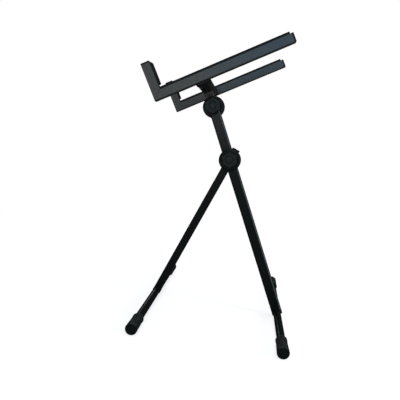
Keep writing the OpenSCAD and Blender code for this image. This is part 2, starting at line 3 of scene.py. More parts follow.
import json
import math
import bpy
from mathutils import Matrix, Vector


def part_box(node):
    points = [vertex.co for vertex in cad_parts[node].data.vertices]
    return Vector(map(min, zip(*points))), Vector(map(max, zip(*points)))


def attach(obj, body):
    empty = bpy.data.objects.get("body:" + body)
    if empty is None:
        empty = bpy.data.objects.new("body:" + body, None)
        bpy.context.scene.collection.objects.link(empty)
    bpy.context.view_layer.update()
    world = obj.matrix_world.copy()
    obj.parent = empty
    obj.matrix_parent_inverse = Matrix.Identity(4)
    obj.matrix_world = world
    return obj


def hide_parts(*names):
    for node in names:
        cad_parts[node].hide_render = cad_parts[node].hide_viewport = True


bl_info = {
    "name": "Folding Stand Looks",
    "version": (1, 0, 0),
    "blender": (4, 5, 0),
    "location": "View3D > Sidebar > Stand",
    "description": "Dresses a folding stand: feet, hubs, knobs, pads, welds, finishes, light and camera",
    "category": "Object",
}

import bmesh
import bpy
from bpy.props import FloatProperty, FloatVectorProperty, IntProperty, PointerProperty
from mathutils import Matrix, Vector

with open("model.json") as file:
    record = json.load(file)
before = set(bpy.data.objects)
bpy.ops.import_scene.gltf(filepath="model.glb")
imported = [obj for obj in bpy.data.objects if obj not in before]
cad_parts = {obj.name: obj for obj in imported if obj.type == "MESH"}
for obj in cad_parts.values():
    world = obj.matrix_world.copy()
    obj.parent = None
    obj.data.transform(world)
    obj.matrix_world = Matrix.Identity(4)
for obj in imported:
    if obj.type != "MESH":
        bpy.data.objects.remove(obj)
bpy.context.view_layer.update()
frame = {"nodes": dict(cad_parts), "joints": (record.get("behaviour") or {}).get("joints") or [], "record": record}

TURN = 2 * math.pi
DUST = (0.35, 0.34, 0.32)
PAINTED_HIGHLIGHT = (0.050, 0.055, 0.062)   # pale line painted along a tube's edge: a painted highlight, not wear
ACROSS = Vector((0, 1, 0))   # towards the user's left
UP = Vector((0, 0, 1))
CRISP = math.radians(38)   # an edge that turns more than this looks sharp
RIGHT, LEFT = -1, 1
SIDES = {"right": RIGHT, "left": LEFT}


def joint_at(name):
    """Where a joint's axis is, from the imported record."""
    return Vector(next(j["pos_m"] for j in frame["joints"] if j["name"] == name))


def middle(node):
    """Middle of a CAD node's box."""
    low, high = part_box(node)
    return (low + high) / 2


UPPER_HUB = joint_at("head_tilt")
LOWER_HUB = joint_at("leg_fold")
REAR_BAR = middle("rear_crossbar")
FRONT_BAR = middle("front_crossbar")
MAIN_UP = (UPPER_HUB - LOWER_HUB).normalized()
LEG_UP = (Vector((LOWER_HUB.x, 0, LOWER_HUB.z)) - Vector((FRONT_BAR.x, 0, FRONT_BAR.z))).normalized()
RAIL_REST = next(m for m in frame["record"]["mounts"] if m["name"] == "right_rail_rest")
ARM_UP = Vector(RAIL_REST["axis"]).normalized()
ARM_ALONG = ACROSS.cross(ARM_UP)


# Sizes and colours that a user would change

def length(name, text, default):
    """A length in metres, for a property group."""
    return FloatProperty(name=name, description=text, default=default, min=0, unit="LENGTH", precision=4)


def colour(name, text, default):
    """A base colour, for a property group."""
    return FloatVectorProperty(name=name, description=text, default=default, size=3, min=0, max=1,
                               subtype="COLOR")


def number(name, text, default, low, high):
    """A whole number, for a property group."""
    return IntProperty(name=name, description=text, default=default, min=low, max=high)


def angle(name, text, degrees):
    """An angle given in degrees, for a property group."""
    return FloatProperty(name=name, description=text, default=math.radians(degrees), subtype="ANGLE")


def lamp_power(name, text, default):
    """A lamp's power in watts, for a property group."""
    return FloatProperty(name=name, description=text, default=default, min=0, unit="POWER")


class StandTubes(bpy.types.PropertyGroup):
    """Tube sizes that the dressed pieces are fitted to."""
    arm: length("Arm tube", "Side of the arms' square tube", 0.030)
    arm_corner: length("Arm corner", "Outside corner radius of the arms' tube", 0.0025)
    arm_wall: length("Arm wall", "Wall of the arms' tube", 0.002)
    rail: length("Rail", "Length of an arm from its outer corner to its tip", 0.476)
    lip: length("Lip", "Height of a lip from its outer corner to its top", 0.126)
    cap: length("Cap", "Thickness of the visible part of an end cap", 0.006)
    setback: length("Setback", "Upper hub back from the arms' outer corner, along the arms", 0.159)
    hub_drop: length("Hub drop", "Upper hub below the arms' underside", 0.063)
    slide: length("Slide", "Width of the slide tubes, along the arms", 0.040)
    sleeve_width: length("Sleeve width", "Sleeve that the arms slide in, along the arms", 0.045)
    sleeve_height: length("Sleeve height", "Sleeve, square to the arms", 0.035)
    sleeve_corner: length("Sleeve corner", "Outside corner radius of the sleeve", 0.003)
    sleeve_ahead: length("Sleeve ahead", "Middle of the sleeve past the upper hub, along the arms", 0.0045)
    collar_rim: length("Collar rim", "Thickness of a sleeve collar's rim", 0.003)
    collar_skirt: length("Collar skirt", "Thickness of a sleeve collar's skirt", 0.002)
    collar_grip: length("Collar grip", "Length of a sleeve collar's skirt", 0.012)
    main_width: length("Main width", "Main tube, front to back", 0.038)
    main_depth: length("Main depth", "Main tube, side to side", 0.025)
    main_corner: length("Main corner", "Outside corner radius of the main tube", 0.005)
    main_wall: length("Main wall", "Wall of the main tube", 0.002)
    main_end: length("Main end", "Main tube left above the upper hub", 0.016)
    leg_width: length("Leg width", "Front leg, front to back", 0.030)
    leg_depth: length("Leg depth", "Front leg, side to side", 0.022)
    leg_corner: length("Leg corner", "Outside corner radius of the front leg", 0.004)
    leg_wall: length("Leg wall", "Wall of the front leg", 0.0018)
    leg_end: length("Leg end", "Front leg left above the lower hub", 0.042)
    neck_width: length("Neck width", "Neck tube, along the arms", 0.033)
    neck_depth: length("Neck depth", "Neck tube, side to side", 0.022)
    neck_corner: length("Neck corner", "Outside corner radius of the neck", 0.004)
    neck_wall: length("Neck wall", "Wall of the neck", 0.002)
    neck_end: length("Neck end", "Neck tube left below the upper hub", 0.016)
    bar_radius: length("Crossbar radius", "Radius of the floor crossbars", 0.014)
    pad: length("Pad", "Thickness of the rubber pads", 0.0065)
    pad_width: length("Pad width", "Width of the rubber pads", 0.028)
    lip_bare: length("Bare lip", "Lip left bare above the face of the rail pad", 0.0095)


class StandKnobs(bpy.types.PropertyGroup):
    """Shape of the knobs."""
    hub_lobes: number("Hub lobes", "Lobes round a hub knob", 6, 3, 12)
    lock_lobes: number("Lock lobes", "Lobes round a lock knob", 5, 3, 12)
    hub_radius: length("Hub knob radius", "Radius of a hub knob over its lobes", 0.028)
    hub_height: length("Hub knob height", "Height of a hub knob from its seat", 0.030)
    lock_radius: length("Lock knob radius", "Radius of a lock knob over its lobes", 0.015)
    lock_height: length("Lock knob height", "Height of a lock knob", 0.014)
    lock_seat: length("Lock knob seat", "Seat of a lock knob below the sleeve", 0.0068)


class StandFeet(bpy.types.PropertyGroup):
    """Shape of the rubber foot caps."""
    length: length("Length", "Whole length of a foot cap", 0.092)
    mouth: length("Mouth radius", "Radius behind the ring at the mouth", 0.0180)
    end: length("End radius", "Radius at the outer end, which stands on the floor", 0.0195)
    rim: length("Rim", "Radius round the rim of the blunt end", 0.004)
    grip: length("Grip", "Depth of the socket on the crossbar", 0.072)
    ribs: number("Ribs", "Ribs round a foot cap", 20, 6, 40)
    rows: number("Rows", "Rows that the ribs are cut into", 5, 1, 12)
    groove: length("Groove", "Depth of the grooves between the ribs", 0.0014)


class StandColours(bpy.types.PropertyGroup):
    """Base colours of the finishes."""
    frame_coat: colour("Frame coat", "Powder coat on the legs, hubs and sleeve", (0.0016, 0.0022, 0.0019))
    arm_coat: colour("Arm coat", "Powder coat on the arms and the neck", (0.0170, 0.0172, 0.0155))
    plastic: colour("Plastic", "Moulded plastic of the hubs and knobs", (0.0030, 0.0037, 0.0035))
    rubber: colour("Rubber", "Foot caps and pads", (0.0026, 0.0032, 0.0029))
    zinc: colour("Zinc", "Plated bolts, washers and pins", (0.42, 0.43, 0.44))
    # painted shade: steel much darker than zinc, for the lock screws that sit in shadow under the lock knobs
    blacked: colour("Blacked steel", "Blacked lock screws", (0.030, 0.031, 0.032))
    brass: colour("Brass", "Threaded inserts", (0.62, 0.42, 0.16))
    fibre: colour("Fibre", "Friction rings", (0.16, 0.09, 0.05))
    floor: colour("Floor", "Floor under the stand", (0.86, 0.86, 0.86))


class StandStage(bpy.types.PropertyGroup):
    """Camera, lamps and background."""
    place: FloatVectorProperty(name="Camera", description="Where the camera is", size=3,
                               subtype="TRANSLATION", default=(0.091315, -1.67022, 0.61243))
    yaw: angle("Yaw", "Turn about the upright, from looking along +Y", 5.514)
    pitch: angle("Pitch", "Tilt up", -7.335)
    roll: angle("Roll", "Turn about the line of sight", -6.589)
    lens: FloatProperty(name="Lens", description="Focal length on a 36 mm wide sensor", default=40.5,
                        unit="CAMERA")
    ambient: FloatProperty(name="Ambient", description="Light from all round", default=0.28, min=0)
    warm: lamp_power("Warm", "Power of the warm panel behind the camera, at the left", 22.0)
    low: lamp_power("Low", "Power of the small panel below the warm one", 22.0)
    cool: lamp_power("Cool", "Power of the cool panel behind the camera, at the right", 60.0)
    top: lamp_power("Top", "Power of the lamp overhead", 80.0)
    side: lamp_power("Side", "Power of the strip at the right", 70.0)
    back: lamp_power("Back", "Power of the small strip behind the stand, at the left", 24.0)


# Shader maths

class Field:
    """A number, vector or colour that varies over a surface, written as maths in Python."""

    def __init__(self, finish, socket):
        self.finish = finish
        self.socket = socket

    def __add__(self, other):
        return self.finish.maths("ADD", self, other)

    def __radd__(self, other):
        return self.finish.maths("ADD", other, self)

    def __sub__(self, other):
        return self.finish.maths("SUBTRACT", self, other)

    def __rsub__(self, other):
        return self.finish.maths("SUBTRACT", other, self)

    def __mul__(self, other):
        return self.finish.maths("MULTIPLY", self, other)

    def __rmul__(self, other):
        return self.finish.maths("MULTIPLY", other, self)

    def __pow__(self, other):
        return self.finish.maths("POWER", self, other)

    def over(self, low, high):
        """0 below low, 1 above high and a smooth step between."""
        return self.finish.node("ShaderNodeMapRange", {"interpolation_type": "SMOOTHSTEP"},
                                {"Value": self, "From Min": low, "From Max": high})

    def dot(self, direction):
        """How far this vector points along a direction."""
        return self.finish.node("ShaderNodeVectorMath", {"operation": "DOT_PRODUCT"},
                                {0: self, 1: tuple(direction)}, output="Value")


class NodeBench:
    """A node tree that maths and other nodes are added to."""

    def __init__(self, tree):
        self.tree = tree

    def node(self, kind, settings=None, inputs=None, output=0):
        """Adds a node: its settings first, then the values or links of its sockets."""
        made = self.tree.nodes.new(kind)
        for key, value in (settings or {}).items():
            setattr(made, key, value)
        for key, value in (inputs or {}).items():
            if isinstance(value, Field):
                self.tree.links.new(value.socket, made.inputs[key])
            else:
                made.inputs[key].default_value = value
        return Field(self, made.outputs[output])

    def maths(self, operation, *values):
        """One step of maths on numbers, or on vectors if any value is one."""
        vectors = any(isinstance(v, Field) and v.socket.type != "VALUE" for v in values)
        kind = "ShaderNodeVectorMath" if vectors else "ShaderNodeMath"
        return self.node(kind, {"operation": operation}, dict(enumerate(values)))


class Finish(NodeBench):
    """One material, with the nodes that its colour, gloss and relief are mixed from."""

    def __init__(self, name):
        self.material = bpy.data.materials.new(name)
        self.material.use_nodes = True
        super().__init__(self.material.node_tree)
        self.shader = self.tree.nodes["Principled BSDF"]
        self.place = self.node("ShaderNodeTexCoord", output="Object")
        self.facing = self.node("ShaderNodeTexCoord", output="Normal")

    def grain(self, scale, detail=2.0, rough=0.5, stretch=None):
        """Noise from 0 to 1 about 1 / scale metres wide, drawn out along an axis if stretch is given."""
        place = self.place if stretch is None else self.place * stretch
        return self.node("ShaderNodeTexNoise", {"noise_dimensions": "3D"},
                         {"Vector": place, "Scale": scale, "Detail": detail, "Roughness": rough})

    def blend(self, share, first, second):
        """Colour from first, where share is 0, to second, where it is 1."""
        pair = {6: first, 7: second}
        pair = {k: v if isinstance(v, Field) else (*v, 1.0) for k, v in pair.items()}
        return self.node("ShaderNodeMix", {"data_type": "RGBA"}, {0: share, **pair}, output=2)

    def relief(self, height, depth, strength):
        """Surface relief of that depth in metres."""
        return self.node("ShaderNodeBump", None, {"Height": height, "Distance": depth, "Strength": strength})

    def dress(self, **sockets):
        """Sets or links the main shader's sockets."""
        for name, value in sockets.items():
            socket = self.shader.inputs[name.replace("_", " ").title().replace("Ior", "IOR")]
            if isinstance(value, Field):
                self.tree.links.new(value.socket, socket)
            elif socket.type == "RGBA":
                socket.default_value = (*value, 1.0)
            else:
                socket.default_value = value
        return self.material


def shade(colour_value, share):
    """A colour made lighter or darker."""
    return tuple(min(1.0, c * share) for c in colour_value)


def powder_coat(name, tone, gloss, face_axis=None, rear=None, under=None, blur=0.30, dusty=0.03):
    """Black powder coat on steel tube: faint blotches and orange peel, paler on the tube's rounded edges.

    The tubes' faces look along face_axis or square to it. An edge that looks a little towards rear gets a pale
    line, a painted highlight, and a face that looks along under gets painted shade: a darker colour and less
    gloss. The gloss is a thin clear layer that blur spreads, so it stays faint where a tube is seen along its
    length. dusty is how thick the dust lies.
    """
    f = Finish(name)
    blotch = f.grain(14.0, 3.0, 0.6)
    peel = f.grain(700.0, 2.0, 0.6)
    streaks = f.grain(60.0, 4.0, 0.7, stretch=(1.0, 0.25, 1.0))
    scuff = streaks.over(0.66, 0.78) * f.grain(420.0, 3.0, 0.7).over(0.50, 0.62)
    dust = f.facing.dot(UP).over(0.25, 1.0) * f.grain(90.0, 5.0, 0.7).over(0.35, 0.75)
    base = f.blend(blotch, shade(tone, 0.85), shade(tone, 1.15))
    base = f.blend(scuff * 0.5, base, shade(tone, 2.4))
    if face_axis:
        straight = f.facing.dot(face_axis) ** 2
        corner = (straight * (1 - straight)).over(0.06, 0.22)
        base = f.blend(corner * f.grain(35.0, 5.0, 0.7).over(0.45, 0.70) * 0.5, base, shade(tone, 2.5))
    # painted highlight: a pale line on the edges that look a little towards rear
    if rear:
        highlight_lean = f.facing.dot(rear)
        line = highlight_lean.over(0.05, 0.20) * (1 - highlight_lean.over(0.40, 0.60))
        base = f.blend(line * (0.55 + f.grain(40.0, 5.0, 0.7).over(0.35, 0.65) * 0.45), base, PAINTED_HIGHLIGHT)
    coat = gloss * (0.75 + peel * 0.35 + blotch * 0.15)
    # painted shade: faces that look along under are darkened and lose most of their gloss
    if under:
        painted_under_shade = f.facing.dot(under).over(0.3, 0.8)
        base = f.blend(painted_under_shade * 0.8, base, shade(tone, 0.2))
        coat = coat * (1 - painted_under_shade * 0.85)
    base = f.blend(dust * dusty, base, DUST)
    return f.dress(base_color=base, roughness=0.55 + blotch * 0.1, specular_ior_level=0.0, coat_weight=coat,
                   coat_roughness=blur, normal=f.relief(peel, 0.00008, 0.8))


def moulded_plastic(name, tone, gloss):
    """Satin moulded plastic: fine spark-eroded texture, worn and lighter on its edges."""
    f = Finish(name)
    sheen = f.grain(30.0, 3.0, 0.6)
    texture = f.grain(1800.0, 2.0)
    edge = f.node("ShaderNodeNewGeometry", output="Pointiness").over(0.52, 0.60)
    wear = edge * f.grain(160.0, 4.0, 0.65).over(0.38, 0.62)
    dust = f.facing.dot(UP).over(0.3, 1.0) * f.grain(120.0, 4.0, 0.7).over(0.35, 0.75)
    base = f.blend(sheen, shade(tone, 0.85), shade(tone, 1.18))
    base = f.blend(wear * 0.55, base, shade(tone, 2.8))
    base = f.blend(dust * 0.03, base, DUST)
    return f.dress(base_color=base, roughness=0.5 + sheen * 0.1, specular_ior_level=0.0,
                   coat_weight=gloss * (0.7 + sheen * 0.3 + texture * 0.3), coat_roughness=0.38,
                   normal=f.relief(texture, 0.00006, 0.8))


def worn_rubber(name, tone, gloss, dusty):
    """Matt rubber: dull bloom, fine skin, pale dust on top and scuffs where it stands proud. The dust is kept off
    the grooves, so they stay dark as painted shade.
    """
    f = Finish(name)
    bloom = f.grain(24.0, 4.0, 0.65)
    skin = f.grain(1500.0, 3.0, 0.6)
    proud = f.node("ShaderNodeNewGeometry", output="Pointiness")
    scuff = proud.over(0.51, 0.58) * f.grain(220.0, 4.0, 0.7).over(0.35, 0.65)
    dust = f.facing.dot(UP).over(0.35, 1.0) * f.grain(140.0, 4.0, 0.7).over(0.30, 0.65)
    dust = dust * proud.over(0.485, 0.52)   # none in the grooves, which stay dark as painted shade
    base = f.blend(bloom, shade(tone, 0.8), shade(tone, 1.3))
    base = f.blend(scuff * 0.5, base, shade(tone, 5.0))
    base = f.blend(dust * dusty, base, (0.30, 0.31, 0.32))
    return f.dress(base_color=base, roughness=0.75 + bloom * 0.14, specular_ior_level=0.0,
                   coat_weight=gloss * (0.7 + bloom * 0.6), coat_roughness=0.35,
                   normal=f.relief(skin, 0.00008, 0.8))


def plated_steel(name, tone):
    """Zinc-plated steel: turned lines, cloudy plating and darker stains."""
    f = Finish(name)
    cloud = f.grain(160.0, 4.0, 0.6)
    turning = f.grain(2400.0, 2.0, 0.5, stretch=(0.15, 1.0, 0.15))
    stain = f.grain(70.0, 5.0, 0.7).over(0.55, 0.75)
    base = f.blend(cloud, shade(tone, 0.8), shade(tone, 1.15))
    base = f.blend(stain * 0.35, base, shade(tone, 0.45))
    rough = 0.30 + cloud * 0.14 + stain * 0.15
    return f.dress(base_color=base, roughness=rough, metallic=1.0, normal=f.relief(turning, 0.00004, 0.5))


def pressed_fibre(name, tone):
    """Pressed friction fibre with short strands."""
    f = Finish(name)
    strands = f.grain(900.0, 3.0, 0.7, stretch=(1.0, 0.2, 1.0))
    base = f.blend(strands, shade(tone, 0.6), shade(tone, 1.5))
    return f.dress(base_color=base, roughness=0.8 + strands * 0.15, normal=f.relief(strands, 0.0001, 0.8))


def background_rays(f):
    """1 for the rays that show the background: the camera's own, and those that gloss and glass send on."""
    camera, gloss, glass = (f.node("ShaderNodeLightPath", output=f"Is {ray} Ray")
                            for ray in ("Camera", "Glossy", "Transmission"))
    return (camera + gloss + glass).over(0.0, 1.0)


def studio_floor(name, tone):
    """Pale floor that looks white from far off and nearly white round the stand, where its shadow falls."""
    f = Finish(name)
    grain = f.grain(40.0, 4.0, 0.6)
    f.dress(base_color=f.blend(grain, shade(tone, 0.985), tone), roughness=0.85 + grain * 0.1,
            specular_ior_level=0.0, normal=f.relief(grain, 0.0002, 0.2))
    out = f.node("ShaderNodeVectorMath", {"operation": "LENGTH"}, {0: f.place}, output="Value")
    share = 0.72 + out.over(0.5, 1.8) * 0.28
    white = f.node("ShaderNodeEmission", None, {"Color": (1, 1, 1, 1), "Strength": 1.0})
    lit = Field(f, f.shader.outputs[0])
    both = f.node("ShaderNodeMixShader", None, {0: background_rays(f) * share, 1: lit, 2: white})
    f.tree.links.new(both.socket, f.tree.nodes["Material Output"].inputs["Surface"])
    return f.material


# Finishes made so far, by name
FINISHES = {}
# The record's slot, where a finish is named apart
SLOTS = {f"{name}_coat": "black_coat"
         for name in ("frame", "main", "bar", "weld", "sleeve", "arm", "neck", "slide")}
SLOTS.update(cap_plastic="hub_plastic", lock_plastic="knob_plastic", blacked_steel="zinc_steel")


def finish_for(finish):
    """A material, made on first use."""
    if finish not in FINISHES:
        c = bpy.context.scene.stand_colours
        makers = {
            "frame_coat": lambda: powder_coat("frame coat", c.frame_coat, 0.065, ACROSS),
            # the main tube's coat carries a painted highlight along one rounded edge
            "main_coat": lambda: powder_coat("main coat", c.frame_coat, 0.065, ACROSS,
                                             rear=ACROSS.cross(MAIN_UP)),
            "bar_coat": lambda: powder_coat("bar coat", c.frame_coat, 0.013, blur=0.16, dusty=0.01),
            "weld_coat": lambda: powder_coat("weld coat", c.frame_coat, 0.04),
            # painted shade: the sleeve's underside and back face are darkened
            "sleeve_coat": lambda: powder_coat("sleeve coat", shade(c.arm_coat, 0.9), 0.09, ARM_UP,
                                               under=(ARM_ALONG - ARM_UP).normalized()),
            # painted shade: the arms' undersides are darkened
            "arm_coat": lambda: powder_coat("arm coat", c.arm_coat, 0.10, ACROSS, under=-ARM_UP),
            # painted light: the arm coat made twice as light, for a neck that sits in shade
            "neck_coat": lambda: powder_coat("neck coat", shade(c.arm_coat, 2.0), 0.08, ACROSS),
            "slide_coat": lambda: powder_coat("slide coat", c.arm_coat, 0.05, ARM_UP),
            "hub_plastic": lambda: moulded_plastic("hub plastic", c.plastic, 0.05),
            "cap_plastic": lambda: moulded_plastic("cap plastic", shade(c.plastic, 0.8), 0.03),
            "knob_plastic": lambda: moulded_plastic("knob plastic", shade(c.plastic, 1.3), 0.07),
            # painted shade: a darker copy of the plastic, for the lock knobs under the sleeve
            "lock_plastic": lambda: moulded_plastic("lock plastic", shade(c.plastic, 0.6), 0.02),
            "plug_plastic": lambda: moulded_plastic("plug plastic", c.plastic, 0.03),
            "foot_rubber": lambda: worn_rubber("foot rubber", c.rubber, 0.02, 0.06),
            "pad_rubber": lambda: worn_rubber("pad rubber", shade(c.rubber, 0.9), 0.02, 0.03),
            "zinc_steel": lambda: plated_steel("zinc steel", c.zinc),
            "blacked_steel": lambda: plated_steel("blacked steel", c.blacked),
            "brass": lambda: plated_steel("brass", c.brass),
            "friction_fibre": lambda: pressed_fibre("friction fibre", c.fibre),
        }
        FINISHES[finish] = makers[finish]()
    return FINISHES[finish]


# Mesh building

def arm_corner(tubes):
    """Outer corner of the arms, on the plane of the hubs' axes."""
    return UPPER_HUB - ARM_ALONG * tubes.setback + ARM_UP * tubes.hub_drop


def seat(origin, along, side=ACROSS):
    """Frame with local Z along a direction and local Y near another."""
    z = along.normalized()
    x = side.cross(z).normalized()
    y = z.cross(x)
    return Matrix(((x.x, y.x, z.x, origin.x), (x.y, y.y, z.y, origin.y), (x.z, y.z, z.z, origin.z),
                   (0, 0, 0, 1)))


def quarter_turn(steps):
    """Angles from 0 to a right angle, for a rounded edge."""
    return [math.pi / 2 * k / steps for k in range(steps + 1)]


def skinned(rings, looped=False, capped=False):
    """A skin over rings of points, each joined to the next.

    A ring of one point closes an end, looped joins the last ring to the first, and capped puts a flat face on
    both ends.
    """
    made = bmesh.new()
    rows = [[made.verts.new(p) for p in ring] for ring in rings]
    pairs = list(zip(rows, rows[1:]))
    if looped:
        pairs.append((rows[-1], rows[0]))
    for low, high in pairs:
        for k in range(max(len(low), len(high))):
            n = k + 1
            corners = [low[k % len(low)], low[n % len(low)], high[n % len(high)], high[k % len(high)]]
            made.faces.new(list(dict.fromkeys(corners)))
    if capped:
        made.faces.new(rows[0])
        made.faces.new(rows[-1])
    return made


def round_ring(radius, height, steps, wave=None):
    """Ring of points about local Z; wave gives a change of radius at an angle."""
    if radius == 0:
        return [Vector((0, 0, height))]
    ring = []
    for k in range(steps):
        a = TURN * k / steps
        r = radius + (wave(a) if wave else 0)
        ring.append(Vector((r * math.cos(a), r * math.sin(a), height)))
    return ring


def box_ring(width, depth, corner, height):
    """Ring of points round a rectangle with rounded corners."""
    steps, corner = 6, max(corner, 0.0002)
    ring = []
    for quarter, (sx, sy) in enumerate(((1, 1), (-1, 1), (-1, -1), (1, -1))):
        cx, cy = sx * (width / 2 - corner), sy * (depth / 2 - corner)
        for k in range(steps + 1):
            a = math.pi / 2 * (quarter + k / steps)
            ring.append(Vector((cx + corner * math.cos(a), cy + corner * math.sin(a), height)))
    return ring


def piece(name, made, body, finish, place=None, stands_for=()):
    """Turns a bmesh into a finished piece that rides on a body."""
    if place is not None:
        bmesh.ops.transform(made, matrix=place, verts=made.verts)
    bmesh.ops.recalc_face_normals(made, faces=made.faces)
    mesh = bpy.data.meshes.new(name)
    made.to_mesh(mesh)
    made.free()
    mesh.shade_smooth()
    mesh.set_sharp_from_angle(angle=CRISP)
    mesh.materials.append(finish_for(finish))
    thing = bpy.data.objects.new(name, mesh)
    bpy.context.scene.collection.objects.link(thing)
    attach(thing, body)
    if stands_for:
        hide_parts(*stands_for)
    return thing


def dress_node(node, finish):
    """Gives a CAD node that stays in view its finish."""
    thing = frame["nodes"][node]
    thing.data.materials.clear()
    thing.data.materials.append(finish_for(finish))
    for face in thing.data.polygons:
        face.material_index = 0


def bead(path, radius, pitch=0.0032, closed=False):
    """A weld bead along a path: a thin tube with overlapping ripples."""
    sides = 8
    path = [Vector(p) for p in path]
    if closed:
        path.append(path[0])
    lengths = [0.0]
    for a, b in zip(path, path[1:]):
        lengths.append(lengths[-1] + (b - a).length)
    count = max(8, int(lengths[-1] / pitch * 4))
    points, at = [], 0
    for k in range(count + (0 if closed else 1)):
        s = lengths[-1] * k / count
        while at < len(path) - 2 and lengths[at + 1] < s:
            at += 1
        share = (s - lengths[at]) / max(lengths[at + 1] - lengths[at], 1e-9)
        points.append(path[at].lerp(path[at + 1], share))
    rings = []
    for k, p in enumerate(points):
        before_it = points[k - 1] if closed or k else p
        after_it = points[(k + 1) % len(points)] if closed or k + 1 < len(points) else p
        along = (after_it - before_it).normalized()
        side = along.cross(UP if abs(along.z) < 0.9 else ACROSS).normalized()
        other = along.cross(side)
        ends = 1.0 if closed else min(1.0, 0.35 + min(k, len(points) - 1 - k) * 0.3)
        r = radius * ends * (0.86 + 0.14 * math.sin(TURN * k / 4))
        rings.append([p + side * r * math.cos(a) + other * r * math.sin(a)
                      for a in (TURN * j / sides for j in range(sides))])
    if not closed:
        rings = [[points[0]]] + rings + [[points[-1]]]
    return skinned(rings, looped=closed)


# One operator for each piece or group of like pieces

class STAND_OT_tubes(bpy.types.Operator):
    """Coats the tubes that the CAD frame gives"""
    bl_idname = "stand.tubes"
    bl_label = "Coat the tubes"

    def execute(self, context):
        dress_node("main_tube", "main_coat")
        dress_node("front_leg_tube", "frame_coat")
        for node in ("rear_crossbar", "front_crossbar"):
            dress_node(node, "bar_coat")
        dress_node("neck_tube", "neck_coat")
        dress_node("sleeve", "sleeve_coat")
        for side in SIDES:
            dress_node(f"{side}_weld_nut", "weld_coat")
            dress_node(f"{side}_slide_tube", "slide_coat")
            for part in ("rail", "lip"):
                dress_node(f"{side}_{part}", "arm_coat")
        return {"FINISHED"}


class STAND_OT_fasteners(bpy.types.Operator):
    """Finishes the bolts, washers, pins, inserts and friction rings"""
    bl_idname = "stand.fasteners"
    bl_label = "Finish the fasteners"

    def execute(self, context):
        for hub in ("upper", "lower"):
            for part in ("bolt", "stop_pin", "back_washer"):
                dress_node(f"{hub}_{part}", "zinc_steel")
            dress_node(f"{hub}_friction_ring", "friction_fibre")
            dress_node(f"{hub}_knob_insert", "brass")
        for side in SIDES:
            # painted shade: the lock screws take the dark steel
            dress_node(f"{side}_lock_screw", "blacked_steel")
        return {"FINISHED"}


class STAND_OT_hubs(bpy.types.Operator):
    """Finishes the clutch discs, the spacer and the lower hub's front cap"""
    bl_idname = "stand.hubs"
    bl_label = "Finish the hubs"

    def execute(self, context):
        for node in ("upper_fixed_disc", "upper_moving_disc", "lower_fixed_disc", "lower_moving_disc",
                     "upper_spacer"):
            dress_node(node, "hub_plastic")
        dress_node("lower_hub_cap", "cap_plastic")
        return {"FINISHED"}


def foot_cap(feet, bar_radius):
    """Ribbed rubber cap along local Z, its mouth at the origin."""
    ring_h, ring_out, gap = 0.006, 0.001, 0.00005
    rim = feet.length - feet.rim
    steps = feet.ribs * 10

    def groove(share):
        """Grooves that fade in and out along the cap."""
        return lambda a: -feet.groove * share * max(0.0, 0.5 + 0.5 * math.cos(a * feet.ribs)) ** 2

    profile = [(bar_radius + gap, feet.grip + gap), (bar_radius + gap, 0.0008), (bar_radius + 0.0008, 0.0)]
    outer = [(feet.mouth + ring_out - 0.0008, 0.0), (feet.mouth + ring_out, 0.0008),
             (feet.mouth + ring_out, ring_h - 0.0008), (feet.mouth + ring_out - 0.0004, ring_h - 0.0002),
             (feet.mouth + 0.0001, ring_h)]
    rings = [round_ring(0, feet.grip + gap, steps)]
    rings += [round_ring(r, z, steps) for r, z in profile + outer]
    taper_from, taper_to = ring_h + 0.0004, rim - 0.0055
    count = feet.rows * 12
    for k in range(count + 1):
        t = k / count
        z = taper_from + (taper_to - taper_from) * t
        r = feet.mouth + (feet.end - feet.mouth) * (z - ring_h) / (rim - ring_h)
        fade = min(1.0, t / 0.06, (1 - t) / 0.06)
        cut = feet.groove * fade * max(0.0, math.cos(TURN * t * feet.rows)) ** 4
        rings.append(round_ring(r - cut, z, steps, groove(fade)))
    band = [(feet.end - 0.0002, rim - 0.0049), (feet.end - 0.0007, rim - 0.0045),
            (feet.end - 0.0007, rim - 0.0037), (feet.end - 0.0001, rim - 0.0033), (feet.end, rim - 0.0015)]
    for a in quarter_turn(6):
        band.append((feet.end - feet.rim * (1 - math.cos(a)), rim + feet.rim * math.sin(a)))
    disc = feet.end - feet.rim - 0.001
    band += [(disc, feet.length), (disc - 0.0006, feet.length - 0.0008), (disc * 0.5, feet.length - 0.0005)]
    rings += [round_ring(r, z, steps) for r, z in band]
    rings.append(round_ring(0, feet.length - 0.0004, steps))
    return skinned(rings)


class STAND_OT_feet(bpy.types.Operator):
    """Builds the four ribbed rubber foot caps"""
    bl_idname = "stand.feet"
    bl_label = "Build the foot caps"

    def execute(self, context):
        feet, tubes = context.scene.stand_feet, context.scene.stand_tubes
        for bar, centre, body in (("rear", REAR_BAR, "rear_frame"), ("front", FRONT_BAR, "front_leg")):
            for side, sign in SIDES.items():
                node = f"{bar}_foot_{side}"
                low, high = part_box(node)
                mouth = Vector((centre.x, low.y if sign == LEFT else high.y, centre.z))
                place = seat(mouth, ACROSS * sign, UP)
                piece(f"{bar}_foot_cap_{side}", foot_cap(feet, tubes.bar_radius), body, "foot_rubber",
                      place, (node,))
        return {"FINISHED"}


